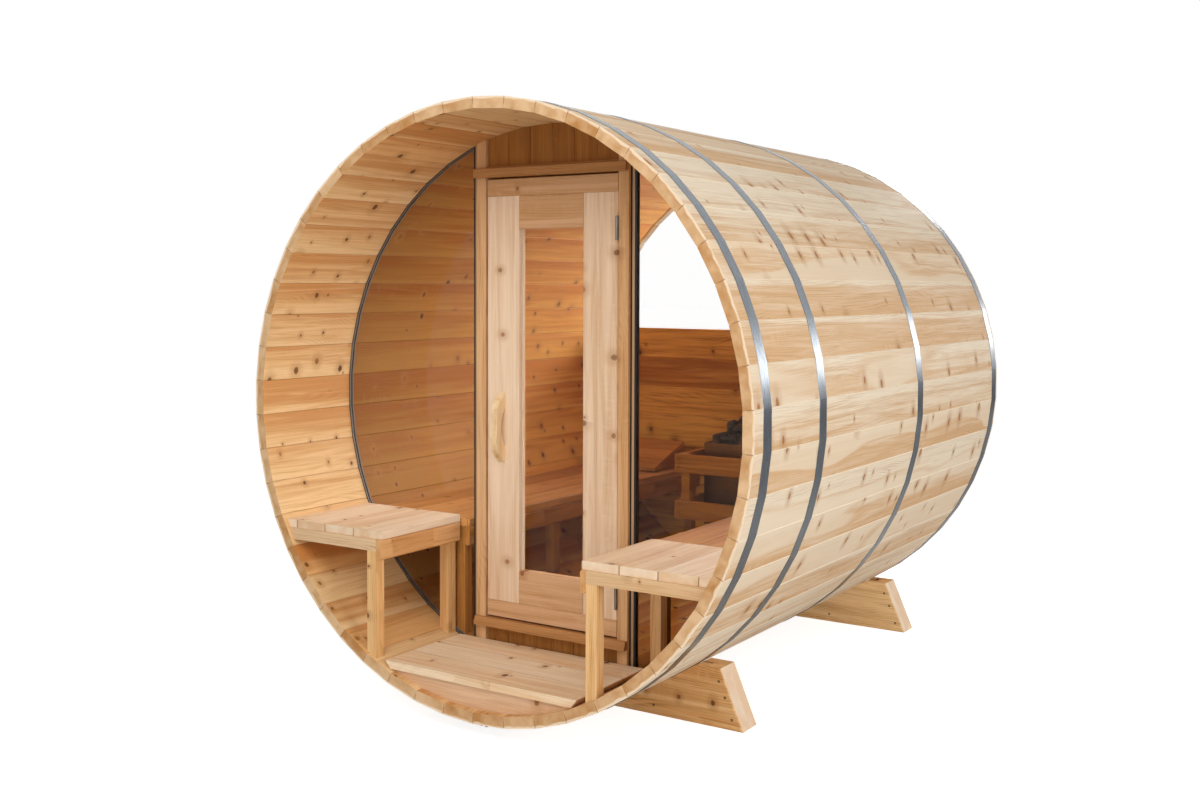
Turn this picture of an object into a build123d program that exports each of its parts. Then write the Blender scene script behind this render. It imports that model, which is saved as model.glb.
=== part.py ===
from build123d import *
import os
from math import ceil, cos, pi, radians, sin, sqrt, tan

os.makedirs("parts", exist_ok=True)

# Barrel sauna: a round shell of staves on two cradles, with an open porch in front of a
# glazed door wall, a hot room behind it and a half-moon window in the back wall.
# Millimetres. The origin is on the ground under the middle of the barrel, +X to the right
# seen from the door, +Y towards the back, +Z up. A rise goes up from the lowest inner face
# of the shell, but pull_rise from the bottom of the door and headrest_rise from the bench.

# Shell of staves
barrel_length = 2134
barrel_diameter = 1905
stave_count = 50
stave_thickness = 36
bead_height = 10
bead_flats = 4
stave_bevel = 2
staves_in_group = 5
under_barrel = 47.5

# Clearances
fit = 0.3
door_gap = 5
bench_wall_gap = 3

# Steel bands
band_width = 48
band_thickness = 1.2
band_lug_height = 22
band_lug_thickness = 3
band_lug_spacing = 16
band_bolt_diameter = 8
band_bolt_overhang = 14
front_band_inset = 75
wall_band_inset = 438
middle_band_inset = 1254
rear_band_inset = 39

# Cradles
cradle_plank = 38
cradle_core = 22
cradle_height = 188
cradle_half_foot = 664
cradle_half_top = 582
cradle_block_width = 48
cradle_bevel = 3
front_cradle_inset = 551
rear_cradle_inset = 185

# Front wall
porch_depth = 408
front_wall_thickness = 20
groove_depth = 10
post_width = 38
post_depth = 62
post_proud = 12
stop_width = 14
header_height = 38
trim_height = 30
trim_depth = 20
sill_height = 28
sill_slope = 8
front_board_pitch = 89

# Back wall
rear_recess = 35
rear_wall_thickness = 38
rear_wall_rise = 1106
rear_board_pitch = 133

# Tongue and groove
tongue_length = 6
tongue_thickness = 6
board_bevel = 3

# Glass
glass_thickness = 8
seal_face = 4
channel_width = 22
glass_bite = 4
rear_glass_bite = 6

# Door
door_width = 524
door_rise = 177
door_headroom = 173
door_thickness = 38
door_setback = 4
stile_width = 133
top_rail_height = 58
bottom_rail_height = 56
inner_rail_height = 110
door_glass_thickness = 6
door_glass_bite = 9
door_bevel = 2

# Hinges
hinge_height = 76
hinge_leaf = 1.5
hinge_leaf_depth = 30
hinge_knuckle_radius = 5.5
hinge_pin_radius = 2.75
hinge_head_radius = 4.4
hinge_top_inset = 174
hinge_bottom_inset = 130
knuckles = 3

# Door pull
pull_length = 239
pull_width = 27
pull_rise = 527
pull_offset = 62
pull_brow_height = 222
pull_brow_reach = 13
pull_shoulder_height = 186
pull_shoulder_reach = 41
pull_waist_height = 124
pull_waist_reach = 43
pull_belly_height = 62
pull_reach = 46
pull_toe_height = 29
pull_toe_reach = 29
grip_bottom = 56
grip_top = 183
grip_depth = 23

# Benches
lumber = 38
bench_board = 26
bench_board_width = 129
bench_apron_thickness = 20
bench_apron_height = 66
bench_apron_bevel = 5
porch_bench_rise = 508
porch_bench_deck_gap = 15
porch_bench_front = 10
bench_end_setback = 8
cabin_bench_rise = 490
cabin_bench_inner = 365
cabin_board_width = 148
cabin_bench_stations = 4
board_joint = 1.5
narrowest_board = 30

# Porch deck
deck_rise = 97
deck_board = 26
deck_boards = 3
deck_inset = 15
deck_back_gap = 6
deck_bevel = 20
deck_joist_inset = 10
deck_runner_offset = 150

# Headrest on the left bench
headrest_slope = 20
headrest_slats = 3
headrest_slat_width = 84
headrest_slat_thickness = 18
headrest_slat_gap = 5
headrest_edge_inset = 35
headrest_wall_gap = 30
headrest_back_gap = 84
headrest_rise = 25

# Heater
heater_left = -110
heater_width = 390
heater_depth = 380
heater_wall_gap = 40
heater_rise = 315
heater_height = 338
heater_sheet = 2
heater_rail_width = 30
stone_heap = 112
stone_sink = 60
heap_corner = 45
heap_shoulder = 78
heap_side_slope = 36
heap_crown_slope = 63

# Heater guard
guard_left = -170
guard_width = 530
guard_depth = 560
guard_rail_height = 75
guard_rail_thickness = 20
guard_top_rise = 617
guard_low_rail_rise = 428

# Worked out from the sizes above
axis_height = barrel_diameter / 2 + under_barrel
pitch_angle = 360 / stave_count
half_pitch = radians(pitch_angle / 2)
outer_flat = barrel_diameter / 2 * cos(half_pitch)
inner_flat = outer_flat - stave_thickness
shell_bottom = axis_height - inner_flat
shell_top = axis_height + inner_flat
barrel_front = -barrel_length / 2
barrel_back = barrel_length / 2
front_wall = barrel_front + porch_depth
post_front = front_wall - post_proud
post_back = post_front + post_depth
rear_wall_back = barrel_back - rear_recess
rear_wall = rear_wall_back - rear_wall_thickness
rear_wall_top = shell_bottom + rear_wall_rise
door_bottom = shell_bottom + door_rise
door_top = shell_top - door_headroom
half_opening = door_width / 2 + door_gap
sill_top = door_bottom - door_gap
header_bottom = door_top + door_gap
post_outside = half_opening + post_width
door_front = post_front + door_setback
door_back = door_front + door_thickness
hinge_x = door_width / 2 + door_gap / 2
hinge_y = post_front - hinge_knuckle_radius


def finish(piece, label):
    """Names a finished piece and writes it."""
    piece.part.label = label
    export_step(piece.part, f"parts/{label}.step")


def across(y):
    """Upright plane across the barrel, seen from the door."""
    return Plane.XZ.offset(-y)


def barrel_prism(flat_distance, y_front, y_back):
    """Solid with the barrel's many-sided section, one face to a stave."""
    with BuildPart() as prism:
        with BuildSketch(across(y_front)):
            with Locations((0, axis_height)):
                RegularPolygon(flat_distance, stave_count, major_radius=False, rotation=90)
        extrude(amount=y_front - y_back)
    return prism.part


def block(x_range, y_range, z_range, bevel=0):
    """Squared timber between the given limits, with its long edges eased."""
    size = [high - low for low, high in (x_range, y_range, z_range)]
    middle = [(low + high) / 2 for low, high in (x_range, y_range, z_range)]
    with BuildPart() as timber:
        with Locations(tuple(middle)):
            Box(*size)
        if bevel:
            along = (Axis.X, Axis.Y, Axis.Z)[size.index(max(size))]
            chamfer(timber.edges().filter_by(along), bevel)
    return timber.part


def shell_half_width(height):
    """Half the clear width inside the shell at this height over the ground."""
    return sqrt(inner_flat ** 2 - (axis_height - height) ** 2)


def inside_barrel(y_front, y_back, reach=-fit):
    """Cuts the piece being built to the inside of the shell."""
    add(barrel_prism(inner_flat + reach, y_front, y_back), mode=Mode.INTERSECT)


def joint_point(radius, side, push):
    """Point on a stave's joint line at this radius, pushed counter-clockwise by push."""
    x = radius * cos(half_pitch) - side * push * sin(half_pitch)
    y = side * radius * sin(half_pitch) + push * cos(half_pitch)
    return (x, y)


# Staves: a bead on one edge sits in the cove of the next stave. Bead and cove are half
# ellipses drawn in a few flats each, because there are fifty of both
with BuildPart() as stave:
    inner_corner = inner_flat / cos(half_pitch)
    outer_corner = outer_flat / cos(half_pitch)
    middle_radius = (inner_corner + outer_corner) / 2
    bead_half = middle_radius - inner_corner - stave_bevel
    inner_half = inner_flat * tan(half_pitch) - fit / 2 - stave_bevel
    outer_half = outer_flat * tan(half_pitch) - fit / 2 - stave_bevel
    with BuildSketch():
        with BuildLine():
            for side in (-1, 1):
                joint = []
                for number in range(bead_flats + 1):
                    turn = number * pi / bead_flats
                    push = bead_height * sin(turn) - side * fit / 2
                    joint.append(joint_point(middle_radius - bead_half * cos(turn), side, push))
                Polyline((inner_flat, side * inner_half), *joint, (outer_flat, side * outer_half))
            Line((inner_flat, -inner_half), (inner_flat, inner_half))
            Line((outer_flat, -outer_half), (outer_flat, outer_half))
        make_face()
    extrude(amount=barrel_length / 2, both=True)
    wall_places = ((front_wall, front_wall_thickness), (rear_wall, rear_wall_thickness))
    for wall_front, wall_thickness in wall_places:
        groove = wall_thickness + 2 * fit
        with Locations((inner_flat, 0, -wall_front + fit)):
            Box(2 * groove_depth, barrel_diameter, groove, mode=Mode.SUBTRACT,
                align=(Align.CENTER, Align.CENTER, Align.MAX))

group_names = ("top_right", "upper_right", "right", "lower_right", "bottom_right",
               "bottom_left", "lower_left", "left", "upper_left", "top_left")
group_angle = staves_in_group * pitch_angle
for number, place in enumerate(group_names):
    first_stave = 90 - (number + 1) * group_angle + pitch_angle / 2
    with BuildPart(Plane((0, 0, axis_height), x_dir=(1, 0, 0), z_dir=(0, -1, 0))) as staves:
        with PolarLocations(0, staves_in_group, first_stave, group_angle):
            add(stave.part)
    finish(staves, f"staves_{place}")

# Bands: flat steel drawn together under the barrel by a six-sided bolt through two lugs
band_centres = (barrel_front + front_band_inset, barrel_front + wall_band_inset,
                barrel_front + middle_band_inset, barrel_back - rear_band_inset)
band_flat = outer_flat + fit
band_slot_height = 6 * band_thickness
lug_top = axis_height - (band_flat + band_thickness / 2) / cos(half_pitch)
bolt_length = band_lug_spacing + 2 * band_lug_thickness + 2 * band_bolt_overhang
with BuildPart() as bands:
    for band_y in band_centres:
        with BuildSketch(across(band_y - band_width / 2)):
            with Locations((0, axis_height)):
                RegularPolygon(band_flat + band_thickness, stave_count, major_radius=False, rotation=90)
                RegularPolygon(band_flat, stave_count, major_radius=False, rotation=90,
                               mode=Mode.SUBTRACT)
            with Locations((0, lug_top)):
                Rectangle(band_lug_spacing, band_slot_height, mode=Mode.SUBTRACT)
        extrude(amount=-band_width)
        for side in (-1, 1):
            with Locations((side * (band_lug_spacing + band_lug_thickness) / 2, band_y, lug_top)):
                Box(band_lug_thickness, band_width, band_lug_height,
                    align=(Align.CENTER, Align.CENTER, Align.MAX))
        with BuildSketch(Plane.YZ.offset(-bolt_length / 2)):
            with Locations((band_y, lug_top - band_lug_height / 2)):
                RegularPolygon(band_bolt_diameter / 2, 6)
        extrude(amount=bolt_length)
finish(bands, "bands")

# Cradles: two planks with a block closing the space between them at each end
end_slope = (cradle_half_foot - cradle_half_top) / cradle_height
cradle_centres = {"front": barrel_front + front_cradle_inset, "back": barrel_back - rear_cradle_inset}
for place, cradle_y in cradle_centres.items():
    cradle_front = cradle_y - cradle_core / 2 - cradle_plank
    layers = ((cradle_front, cradle_plank - fit),
              (cradle_front + cradle_plank, cradle_core),
              (cradle_front + cradle_plank + cradle_core + fit, cradle_plank - fit))
    with BuildPart() as cradle:
        for layer, (y_front, thickness) in enumerate(layers):
            with BuildSketch(across(y_front)):
                with BuildLine():
                    Polyline((-cradle_half_foot, 0), (cradle_half_foot, 0),
                             (cradle_half_top, cradle_height), (-cradle_half_top, cradle_height),
                             close=True)
                make_face()
                with Locations((0, axis_height)):
                    Circle(barrel_diameter / 2 + fit, mode=Mode.SUBTRACT)
                if layer == 1:
                    with BuildLine():
                        inner_foot = cradle_half_foot - cradle_block_width
                        inner_top = inner_foot - end_slope * cradle_height
                        Polyline((-inner_foot, 0), (inner_foot, 0), (inner_top, cradle_height),
                                 (-inner_top, cradle_height), close=True)
                    make_face(mode=Mode.SUBTRACT)
            extrude(amount=-thickness)
        outer_faces = cradle.faces().sort_by(Axis.Y)
        for face in (outer_faces[0], outer_faces[-1]):
            chamfer(face.edges().filter_by(GeomType.LINE), cradle_bevel)
    finish(cradle, f"cradle_{place}")


def matched_board(pitch, thickness):
    """Section of one matched board: groove at x = 0, tongue past the far edge."""
    width = pitch - fit
    low = (thickness - tongue_thickness) / 2
    high = (thickness + tongue_thickness) / 2
    with BuildSketch() as section:
        with BuildLine():
            Polyline((board_bevel, 0), (width - board_bevel, 0), (width, board_bevel),
                     (width, low), (width + tongue_length, low), (width + tongue_length, high),
                     (width, high), (width, thickness - board_bevel),
                     (width - board_bevel, thickness), (board_bevel, thickness),
                     (0, thickness - board_bevel), (0, high + fit),
                     (tongue_length + fit, high + fit), (tongue_length + fit, low - fit),
                     (0, low - fit), (0, board_bevel), close=True)
        make_face()
    return section.sketch


# Door posts
with BuildPart() as door_posts:
    add(block((half_opening, post_outside), (post_front, post_back), (0, 2 * axis_height)))
    inside_barrel(post_front, post_back)
    mirror(about=Plane.YZ)
finish(door_posts, "door_posts")

# Header and sill between the posts, each with a strip across the posts' faces
inner_width = half_opening - fit
across_opening = (-inner_width, inner_width)
across_posts = (-post_outside, post_outside)
strip_front = post_front - trim_depth
strip_back = post_front - fit
sill_bottom = sill_top - sill_height
header_top = header_bottom + header_height
with BuildPart() as header:
    add(block(across_opening, (post_front, post_back), (header_bottom, header_top)))
    add(block(across_posts, (strip_front, strip_back), (header_bottom, header_bottom + trim_height),
              door_bevel))
finish(header, "door_header")

with BuildPart() as sill:
    add(block(across_opening, (post_front, post_back), (sill_bottom, sill_top)))
    with BuildSketch(Plane.YZ):
        with BuildLine():
            Polyline((strip_front, sill_bottom), (strip_back, sill_bottom), (strip_back, sill_top),
                     (strip_front + sill_slope, sill_top), close=True)
        make_face()
    extrude(amount=post_outside, both=True)
finish(sill, "door_sill")

# Stops: thin strips all round the opening that the door closes against
stop_depth = (door_back + door_gap, post_back)
stop_outside = half_opening - fit
stop_inside = half_opening - stop_width
with BuildPart() as door_stops:
    add(block((stop_inside, stop_outside), stop_depth, (sill_top + fit, header_bottom - fit)))
    mirror(about=Plane.YZ)
    between_stops = (fit - stop_inside, stop_inside - fit)
    add(block(between_stops, stop_depth, (header_bottom - stop_width, header_bottom - fit)))
    add(block(between_stops, stop_depth, (sill_top + fit, sill_top + stop_width)))
finish(door_stops, "door_stops")

# Matched boards over the header and under the sill
front_board = matched_board(front_board_pitch, front_wall_thickness)
front_board_count = ceil(2 * inner_width / front_board_pitch)
board_spans = {"transom_boards": (header_top + fit, 2 * axis_height),
               "kick_boards": (0, sill_bottom - fit)}
for label, (low, high) in board_spans.items():
    with BuildPart() as front_boards:
        with BuildSketch(Plane.XY.offset(low)):
            for number in range(front_board_count):
                with Locations((number * front_board_pitch - inner_width, front_wall)):
                    add(front_board)
        extrude(amount=high - low)
        inside_barrel(front_wall, front_wall + front_wall_thickness, groove_depth - fit)
        add(block(across_opening, (front_wall, post_back), (low, high)), mode=Mode.INTERSECT)
    finish(front_boards, label)

# Fixed glass on both sides of the door, each pane a part of a circle
glass_middle = front_wall + front_wall_thickness / 2
glass_front = glass_middle - glass_thickness / 2
channel_inside = post_outside + fit
pane_edge = channel_inside + channel_width - glass_bite * 2
seal_reach = groove_depth - fit
pane_reach = seal_reach - glass_bite
with BuildPart() as front_glass:
    with BuildSketch(across(glass_front)):
        with Locations((0, axis_height)):
            RegularPolygon(inner_flat + pane_reach, stave_count, major_radius=False, rotation=90)
            Rectangle(2 * pane_edge, barrel_diameter, mode=Mode.SUBTRACT)
    extrude(amount=-glass_thickness)
finish(front_glass, "front_glass")

# Back wall: matched boards laid level, up to the window
rear_glass_front = (rear_wall + rear_wall_back - glass_thickness) / 2
rear_pane_bottom = rear_wall_top - rear_glass_bite
full_width = (-barrel_diameter, barrel_diameter)
upright_section = Plane((0, rear_wall, rear_wall_top), x_dir=(0, 0, 1), z_dir=(-1, 0, 0))
rear_board = matched_board(rear_board_pitch, rear_wall_thickness)
rear_wall_bottom = axis_height - inner_flat - groove_depth
rear_board_count = ceil((rear_wall_top - rear_wall_bottom) / rear_board_pitch)
with BuildPart() as rear_boards:
    with BuildSketch(upright_section):
        for number in range(rear_board_count):
            with Locations((-(number + 1) * rear_board_pitch, 0)):
                add(rear_board)
    extrude(amount=barrel_diameter / 2, both=True)
    inside_barrel(rear_wall, rear_wall_back, groove_depth - fit)
    add(block(full_width, (rear_wall, rear_wall_back), (0, rear_wall_top)), mode=Mode.INTERSECT)
    add(block(full_width, (rear_glass_front - fit, rear_glass_front + glass_thickness + fit),
              (rear_pane_bottom - fit, rear_wall_top)), mode=Mode.SUBTRACT)
finish(rear_boards, "back_wall_boards")

# Half-moon window, its straight edge in a slot along the top board
with BuildPart() as rear_glass:
    add(barrel_prism(inner_flat + pane_reach, rear_glass_front, rear_glass_front + glass_thickness))
    add(block(full_width, (rear_wall, rear_wall_back), (rear_pane_bottom, 2 * axis_height)),
        mode=Mode.INTERSECT)
finish(rear_glass, "back_window_glass")


def edging_ring(y_front, y_back, glass_front, face):
    """Edging in the shell's groove, slotted for the pane, with its face proud of the staves."""
    ring = barrel_prism(inner_flat + seal_reach, y_front, y_back)
    ring -= barrel_prism(inner_flat - face, y_front, y_back)
    slot_depth = inner_flat + pane_reach + fit
    return ring - barrel_prism(slot_depth, glass_front - fit, glass_front + glass_thickness + fit)


# Rubber seals of the front panes, as far as the upright channels
front_wall_back = front_wall + front_wall_thickness
seal_limit = channel_inside + channel_width + fit
with BuildPart() as glass_seals:
    add(edging_ring(front_wall, front_wall_back, glass_front, seal_face))
    add(block((-seal_limit, seal_limit), (front_wall, front_wall_back), (0, 2 * axis_height)),
        mode=Mode.SUBTRACT)
finish(glass_seals, "glass_seals")

# Wooden packing round the half-moon pane, flush with the staves
with BuildPart() as window_packing:
    add(edging_ring(rear_wall, rear_wall_back, rear_glass_front, 0))
    add(block(full_width, (rear_wall, rear_wall_back), (0, rear_wall_top + fit)),
        mode=Mode.SUBTRACT)
finish(window_packing, "window_packing")

# Channels for the front panes, one up each door post
slot_width = glass_thickness + 2 * fit
with BuildPart() as glass_channels:
    with BuildSketch():
        with Locations((channel_inside, glass_middle)):
            Rectangle(channel_width, front_wall_thickness, align=(Align.MIN, Align.CENTER))
        with Locations((pane_edge - fit, glass_middle)):
            Rectangle(channel_width, slot_width, align=(Align.MIN, Align.CENTER),
                      mode=Mode.SUBTRACT)
        mirror(about=Plane.YZ)
    extrude(amount=2 * axis_height)
    inside_barrel(front_wall, front_wall_back)
finish(glass_channels, "glass_channels")

# Door: two rails across the full width, stiles between them, inner rails between the stiles
half_door = door_width / 2
stile_inside = half_door - stile_width
stile_bottom = door_bottom + bottom_rail_height + fit
stile_top = door_top - top_rail_height - fit
light_bottom = stile_bottom + inner_rail_height
light_top = stile_top - inner_rail_height
door_glass_front = (door_front + door_back - door_glass_thickness) / 2
depth_of_door = (door_front, door_back)


def door_glass_box(play):
    """The door's pane, or with play the groove that holds it."""
    return block((-stile_inside - door_glass_bite - play, stile_inside + door_glass_bite + play),
                 (door_glass_front - play, door_glass_front + door_glass_thickness + play),
                 (light_bottom - door_glass_bite - play, light_top + door_glass_bite + play))


with BuildPart() as door_stiles:
    add(block((stile_inside, half_door), depth_of_door, (stile_bottom, stile_top), door_bevel))
    mirror(about=Plane.YZ)
    add(door_glass_box(fit), mode=Mode.SUBTRACT)
finish(door_stiles, "door_stiles")

with BuildPart() as door_rails:
    inner_rail = (fit - stile_inside, stile_inside - fit)
    add(block((-half_door, half_door), depth_of_door, (door_bottom, stile_bottom - fit), door_bevel))
    add(block((-half_door, half_door), depth_of_door, (stile_top + fit, door_top), door_bevel))
    add(block(inner_rail, depth_of_door, (stile_bottom, light_bottom), door_bevel))
    add(block(inner_rail, depth_of_door, (light_top, stile_top), door_bevel))
    add(door_glass_box(fit), mode=Mode.SUBTRACT)
finish(door_rails, "door_rails")

with BuildPart() as door_glass:
    add(door_glass_box(0))
finish(door_glass, "door_glass")

# Hinges: leaves in the gap beside the door, knuckles in turn around the pin, which is fast in
# the post's leaf
hinge_centres = (door_top - hinge_top_inset, door_bottom + hinge_bottom_inset)
knuckle_height = hinge_height / knuckles


def hinge_half(first_knuckle, leaf_x):
    """One leaf with its knuckles, cut clear of the other's knuckles, for both hinges."""
    with BuildPart() as half:
        for centre in hinge_centres:
            bottom = centre - hinge_height / 2
            add(block((leaf_x, leaf_x + hinge_leaf), (hinge_y, door_front + hinge_leaf_depth),
                      (bottom, bottom + hinge_height)))
            for number in range(knuckles):
                knuckle_bottom = bottom + number * knuckle_height
                own = number % 2 == first_knuckle
                with BuildSketch(Plane.XY.offset(knuckle_bottom + (fit / 2 if own else -fit / 2))):
                    with Locations((hinge_x, hinge_y)):
                        Circle(hinge_knuckle_radius if own else hinge_knuckle_radius + fit)
                extrude(amount=knuckle_height + (-fit if own else fit),
                        mode=Mode.ADD if own else Mode.SUBTRACT)
    return half


door_leaf_x = half_door + fit
post_leaf_x = half_opening - fit - hinge_leaf
with BuildPart() as hinge_leaves_door:
    add(hinge_half(1, door_leaf_x).part)
    for centre in hinge_centres:
        with Locations((hinge_x, hinge_y, centre)):
            Cylinder(hinge_pin_radius + fit, hinge_height, mode=Mode.SUBTRACT)
finish(hinge_leaves_door, "hinge_leaves_door")

with BuildPart() as hinge_leaves_post:
    add(hinge_half(0, post_leaf_x).part)
    for centre in hinge_centres:
        with Locations((hinge_x, hinge_y, centre)):
            Cylinder(hinge_pin_radius, hinge_height - fit)
        with Locations((hinge_x, hinge_y, centre + (hinge_height - fit) / 2)):
            Cylinder(hinge_head_radius, hinge_leaf, align=(Align.CENTER, Align.CENTER, Align.MIN))
finish(hinge_leaves_post, "hinge_leaves_post")

# Door pull: a slice of branch on edge, with a long hole for the hand
pull_left = pull_offset - half_door - pull_width / 2
pull_foot = Plane((pull_left, door_front, door_bottom + pull_rise), x_dir=(0, -1, 0),
                  z_dir=(-1, 0, 0))
with BuildPart() as door_pull:
    with BuildSketch(pull_foot):
        with BuildLine():
            Line((0, 0), (0, pull_length))
            Spline((0, pull_length), (pull_brow_reach, pull_brow_height),
                   (pull_shoulder_reach, pull_shoulder_height), (pull_waist_reach, pull_waist_height),
                   (pull_reach, pull_belly_height), (pull_toe_reach, pull_toe_height), (0, 0))
        make_face()
        with BuildLine():
            Line((0, grip_bottom), (0, grip_top))
            ThreePointArc((0, grip_top), (grip_depth, (grip_top + grip_bottom) / 2), (0, grip_bottom))
        make_face(mode=Mode.SUBTRACT)
    extrude(amount=-pull_width)
finish(door_pull, "door_pull")


def bench_boards(x_inner, board_width, y_front, y_back, top):
    """Top boards side by side from the bench's open edge, the last one scribed to the shell."""
    clear_width = shell_half_width(top) - x_inner
    boards_abreast = ceil((clear_width - narrowest_board) / board_width)
    with BuildPart() as boards:
        for number in range(boards_abreast):
            low = x_inner + number * board_width
            last = number == boards_abreast - 1
            high = barrel_diameter / 2 if last else low + board_width - board_joint
            add(block((low, high), (y_front, y_back), (top - bench_board, top), stave_bevel))
        inside_barrel(y_front, y_back)
    return boards


def both_sides(right_side, label):
    """Writes the right-hand piece together with its mirror image on the left."""
    with BuildPart() as pair:
        add(right_side.part)
        mirror(about=Plane.YZ)
    finish(pair, label)


def bench_frame(room, x_inner, y_front, y_back, top, stations):
    """Apron along the open edge, a crosspiece at each station and a leg under its end."""
    under_boards = top - bench_board - fit
    apron_inside = x_inner + bench_apron_thickness
    crosspiece_bottom = under_boards - lumber
    leg_x = apron_inside + fit
    with BuildPart() as apron:
        add(block((x_inner, apron_inside), (y_front, y_back),
                  (under_boards - bench_apron_height, under_boards), bench_apron_bevel))
    with BuildPart() as crosspieces:
        for y in stations:
            add(block((leg_x, barrel_diameter / 2), (y, y + lumber),
                      (crosspiece_bottom, under_boards)))
        inside_barrel(y_front, y_back)
    with BuildPart() as legs:
        for y in stations:
            add(block((leg_x, leg_x + lumber), (y, y + lumber), (0, crosspiece_bottom - fit)))
        inside_barrel(y_front, y_back)
    both_sides(apron, f"{room}_bench_aprons")
    both_sides(crosspieces, f"{room}_bench_crosspieces")
    both_sides(legs, f"{room}_bench_legs")


deck_top = shell_bottom + deck_rise
deck_under = deck_top - deck_board
deck_half = shell_half_width(deck_under) - fit
porch_bench_inner = deck_half + deck_bevel + porch_bench_deck_gap
porch_bench_top = shell_bottom + porch_bench_rise
cabin_bench_top = shell_bottom + cabin_bench_rise
bench_front = barrel_front + porch_bench_front
bench_back = front_wall - bench_wall_gap
both_sides(bench_boards(porch_bench_inner, bench_board_width, bench_front + bench_end_setback,
                        bench_back, porch_bench_top), "porch_bench_boards")
bench_frame("porch", porch_bench_inner, bench_front, bench_back, porch_bench_top,
            (bench_front, bench_back - lumber))

cabin_front = front_wall_back + bench_wall_gap
cabin_back = rear_wall - bench_wall_gap
station_step = (cabin_back - cabin_front - lumber) / (cabin_bench_stations - 1)
stations = [cabin_front + number * station_step for number in range(cabin_bench_stations)]
both_sides(bench_boards(cabin_bench_inner, cabin_board_width, cabin_front, cabin_back,
                        cabin_bench_top), "cabin_bench_boards")
bench_frame("cabin", cabin_bench_inner, cabin_front, cabin_back, cabin_bench_top, stations)

# Porch deck: boards across the barrel on joists and runners cut to the shell
deck_front = barrel_front + deck_inset
deck_back = post_front - deck_back_gap
deck_pitch = (deck_back - deck_front + board_joint) / deck_boards
with BuildPart() as deck:
    for number in range(deck_boards):
        with BuildSketch(across(deck_front + number * deck_pitch)):
            with BuildLine():
                Polyline((-deck_half, deck_under), (deck_half, deck_under),
                         (deck_half + deck_bevel, deck_top), (-deck_half - deck_bevel, deck_top),
                         close=True)
            make_face()
        extrude(amount=board_joint - deck_pitch)
finish(deck, "porch_deck_boards")

with BuildPart() as deck_joists:
    joist_z = (0, deck_under - fit)
    fascia_front = deck_front + deck_joist_inset
    rear_joist = deck_back - lumber
    for y in (fascia_front, rear_joist):
        add(block((-deck_half, deck_half), (y, y + lumber), joist_z))
    for x in (-deck_runner_offset - lumber, deck_runner_offset):
        add(block((x, x + lumber), (fascia_front + lumber + fit, rear_joist - fit), joist_z))
    inside_barrel(deck_front, deck_back)
finish(deck_joists, "porch_deck_joists")

# Headrest: slats on two wedges at the far end of the left bench
slant = radians(headrest_slope)
headrest_run = (headrest_slats * (headrest_slat_width + headrest_slat_gap)) * cos(slant)
headrest_back = rear_wall - headrest_back_gap
headrest_front = headrest_back - headrest_run
wedge_front = headrest_front + headrest_slat_width * cos(slant) / 2
headrest_right = -cabin_bench_inner - headrest_edge_inset
headrest_left = headrest_wall_gap - shell_half_width(cabin_bench_top)
slat_line = Plane((headrest_right, headrest_front, cabin_bench_top + headrest_rise),
                  x_dir=(0, cos(slant), sin(slant)), z_dir=(-1, 0, 0))
with BuildPart() as headrest:
    with BuildSketch(slat_line):
        for number in range(headrest_slats):
            with Locations((number * (headrest_slat_width + headrest_slat_gap), 0)):
                Rectangle(headrest_slat_width, headrest_slat_thickness, align=(Align.MIN, Align.MIN))
    extrude(amount=headrest_right - headrest_left)
    wedge_end = headrest_rise - headrest_slat_thickness / cos(slant) - fit
    wedge_low = wedge_end + (wedge_front - headrest_front) * tan(slant)
    wedge_high = wedge_end + (headrest_back - headrest_front) * tan(slant)
    for x in (headrest_right - lumber, headrest_left + 2 * lumber):
        with BuildSketch(Plane.YZ.offset(x)):
            with BuildLine():
                Polyline((wedge_front, cabin_bench_top + fit), (headrest_back, cabin_bench_top + fit),
                         (headrest_back, cabin_bench_top + wedge_high),
                         (wedge_front, cabin_bench_top + wedge_low), close=True)
            make_face()
        extrude(amount=-lumber)
finish(headrest, "headrest")

# Heater: an open steel case on wall rails, heaped with stones
heater_bottom = shell_bottom + heater_rise
heater_top = heater_bottom + heater_height
heater_back = rear_wall - heater_wall_gap
heater_front = heater_back - heater_depth
heater_right = heater_left + heater_width
with BuildPart() as heater:
    add(block((heater_left, heater_right), (heater_front, heater_back), (heater_bottom, heater_top)))
    top_face = heater.faces().sort_by(Axis.Z)[-1]
    offset(amount=-heater_sheet, openings=top_face)
    for x in (heater_left + heater_rail_width, heater_right - 2 * heater_rail_width):
        add(block((x, x + heater_rail_width), (heater_back, rear_wall - fit),
                  (heater_bottom, heater_top - heater_rail_width)))
finish(heater, "heater_case")

heap_bottom = heater_top - stone_sink
heap_middle = ((heater_left + heater_right) / 2, (heater_front + heater_back) / 2)
heap_width = heater_width - 2 * heater_sheet - 2 * fit
heap_depth = heater_depth - 2 * heater_sheet - 2 * fit
with BuildPart() as stones:
    with BuildSketch(Plane.XY.offset(heap_bottom)) as heap_outline:
        with Locations(heap_middle):
            Rectangle(heap_width, heap_depth)
        chamfer(heap_outline.vertices(), heap_corner)
    extrude(amount=stone_sink)
    for rise, slope in ((heap_shoulder, heap_side_slope),
                        (stone_heap - heap_shoulder, heap_crown_slope)):
        extrude(stones.faces().sort_by(Axis.Z)[-1], amount=rise, taper=slope)
finish(stones, "heater_stones")

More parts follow.
